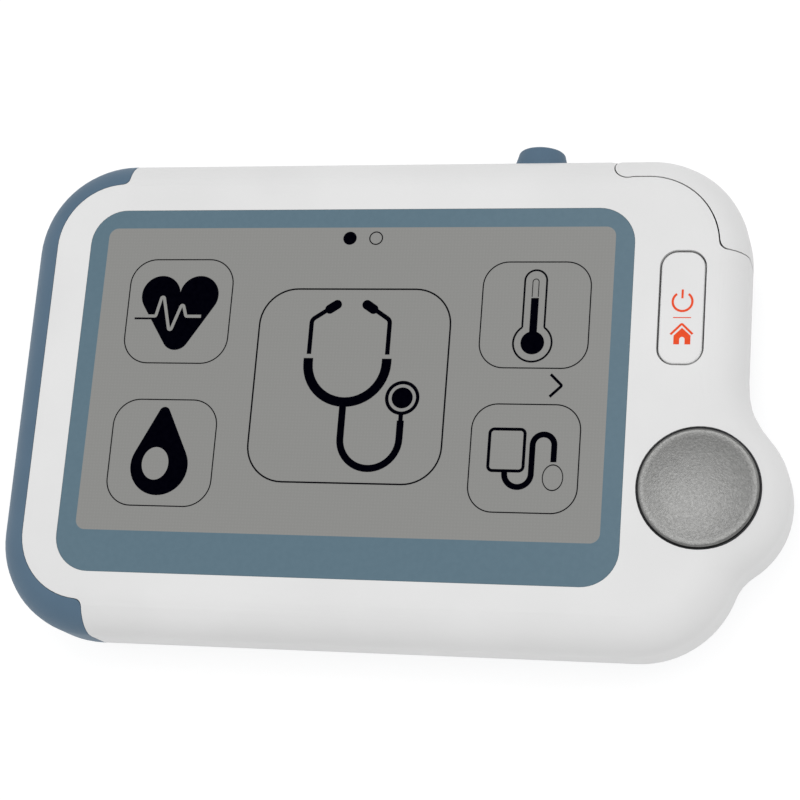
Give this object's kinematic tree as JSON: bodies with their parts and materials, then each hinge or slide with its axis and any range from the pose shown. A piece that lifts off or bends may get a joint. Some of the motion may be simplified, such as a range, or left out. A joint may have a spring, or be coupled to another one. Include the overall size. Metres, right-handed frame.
{
  "type": "ecg home monitor",
  "caption": "Palm-size home ECG and vital-signs monitor: touch display, round thumb electrode, oblong home button, sprung finger clip on one corner and an infrared thermometer nozzle.",
  "frame": {"origin": "middle of the flat rear face, level with the middle of the case's width and height", "axes": "+X along the case towards the thumb electrode, +Y towards the edge with the thermometer nozzle, +Z out of the display; the monitor lies on its back"},
  "size_m": [0.088, 0.0576, 0.0132],
  "materials": {
    "white_shell": "satin white moulded plastic",
    "blue_shell": "fine matt blue-grey moulded plastic",
    "cover_glass": "clear cover with a printed border",
    "display_glass": "glossy display glass",
    "sheet_steel": "bright pressed sheet",
    "copper_film": "amber film",
    "board": "satin lacquered board",
    "black_parts": "matt black",
    "cell_foil": "satin foil pouch",
    "foam": "soft foam",
    "lead_wire": "smooth insulation",
    "stainless": "satin stainless steel",
    "black_rubber": "soft matt rubber",
    "contact_bronze": "plated spring bronze",
    "dark_window": "dark glossy window",
    "red_window": "deep red glossy window",
    "screw_steel": "plain steel"
  },
  "bodies": {
    "case": {"front_housing": "white_shell", "rear_housing": "blue_shell", "touch_lens": "cover_glass", "lcd_module": "display_glass", "display_frame": "sheet_steel", "display_flex": "copper_film", "main_board": "board", "board_parts": "black_parts", "battery_pack": "cell_foil", "battery_pad": "foam", "battery_leads": "lead_wire", "home_switch": "sheet_steel", "thumb_electrode": "stainless", "electrode_ring": "black_rubber", "left_electrode": "stainless", "rear_electrode": "stainless", "electrode_springs": "contact_bronze", "speaker": "black_parts", "data_port": "sheet_steel", "thermometer_nozzle": "blue_shell", "ir_sensor": "stainless", "ir_window": "dark_window", "finger_pad": "black_rubber", "clip_detector": "dark_window", "clip_spring": "stainless", "case_screws": "screw_steel"},
    "home_button": {"home_button": "white_shell", "switch_plunger": "black_parts"},
    "clip": {"clip_arm": "white_shell", "clip_pad": "black_rubber", "clip_emitter": "red_window", "hinge_pin": "stainless"}
  },
  "joints": [
    {"name": "home_press", "type": "slide", "parent": "case", "child": "home_button", "axis": [0, 0, -1], "range_m": [0, 0.0004], "stiffness_N_per_m": 1500, "springref_m": -0.0002},
    {"name": "clip_hinge", "type": "hinge", "parent": "case", "child": "clip", "pos_m": [0.0254, 0.02625, 0.0065], "axis": [0, 0, 1], "range_deg": [0, 50], "stiffness_Nm_per_rad": 0.01, "springref_deg": -28.65}
  ]
}
